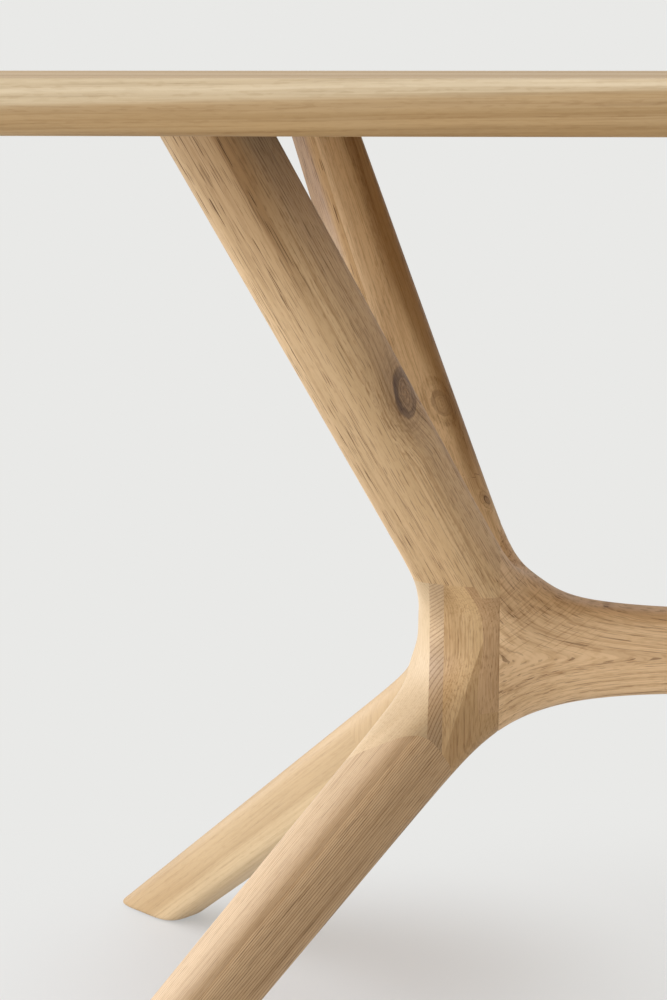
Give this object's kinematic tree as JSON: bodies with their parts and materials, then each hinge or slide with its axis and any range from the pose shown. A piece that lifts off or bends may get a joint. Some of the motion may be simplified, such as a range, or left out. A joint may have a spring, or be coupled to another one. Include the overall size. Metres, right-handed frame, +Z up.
{
  "type": "dining table",
  "caption": "Rectangular oak dining table whose board top stands on sculpted, splayed and forked end legs tied by a long flared stretcher.",
  "frame": {"origin": "on the floor, under the middle of the top", "axes": "+X along the table, +Y across it towards the back, +Z up"},
  "size_m": [2.2, 1, 0.76],
  "materials": {
    "oak_top": "oiled",
    "oak_pale_stave": "oiled",
    "oak_brown_stave": "oiled",
    "oak_hub": "oiled",
    "oak_wedge": "oiled",
    "oak_key": "oiled end grain",
    "oak_stretcher": "oiled",
    "beech_dowel": "bare",
    "steel_plate": "black",
    "steel_fastener": "zinc plated",
    "brass_insert": "turned",
    "felt_pad": "felt"
  },
  "bodies": {
    "root": {"left_front_upper_leg_outer_stave": "oak_pale_stave", "left_front_upper_leg_inner_stave": "oak_brown_stave", "left_front_lower_leg_outer_stave": "oak_pale_stave", "left_front_lower_leg_inner_stave": "oak_brown_stave", "left_front_hub_cheek": "oak_hub", "left_front_hub_block": "oak_hub", "left_front_hub_wedge": "oak_wedge", "left_front_mount_plate": "steel_plate", "left_back_upper_leg_outer_stave": "oak_pale_stave", "left_back_upper_leg_inner_stave": "oak_brown_stave", "left_back_lower_leg_outer_stave": "oak_pale_stave", "left_back_lower_leg_inner_stave": "oak_brown_stave", "left_back_hub_cheek": "oak_hub", "left_back_hub_block": "oak_hub", "left_back_hub_wedge": "oak_wedge", "left_back_mount_plate": "steel_plate", "left_hub_key": "oak_key", "right_front_upper_leg_outer_stave": "oak_pale_stave", "right_front_upper_leg_inner_stave": "oak_brown_stave", "right_front_lower_leg_outer_stave": "oak_pale_stave", "right_front_lower_leg_inner_stave": "oak_brown_stave", "right_front_hub_cheek": "oak_hub", "right_front_hub_block": "oak_hub", "right_front_hub_wedge": "oak_wedge", "right_front_mount_plate": "steel_plate", "right_back_upper_leg_outer_stave": "oak_pale_stave", "right_back_upper_leg_inner_stave": "oak_brown_stave", "right_back_lower_leg_outer_stave": "oak_pale_stave", "right_back_lower_leg_inner_stave": "oak_brown_stave", "right_back_hub_cheek": "oak_hub", "right_back_hub_block": "oak_hub", "right_back_hub_wedge": "oak_wedge", "right_back_mount_plate": "steel_plate", "right_hub_key": "oak_key", "stretcher": "oak_stretcher", "top_board_1": "oak_top", "top_board_2": "oak_top", "top_board_3": "oak_top", "top_board_4": "oak_top", "top_board_5": "oak_top", "top_board_6": "oak_top", "top_board_7": "oak_top", "leg_bolts": "steel_fastener", "leg_inserts": "brass_insert", "plate_screws": "steel_fastener", "leg_dowels": "beech_dowel", "hub_dowels": "beech_dowel", "stretcher_dowels": "beech_dowel", "foot_pads": "felt_pad"}
  },
  "joints": []
}
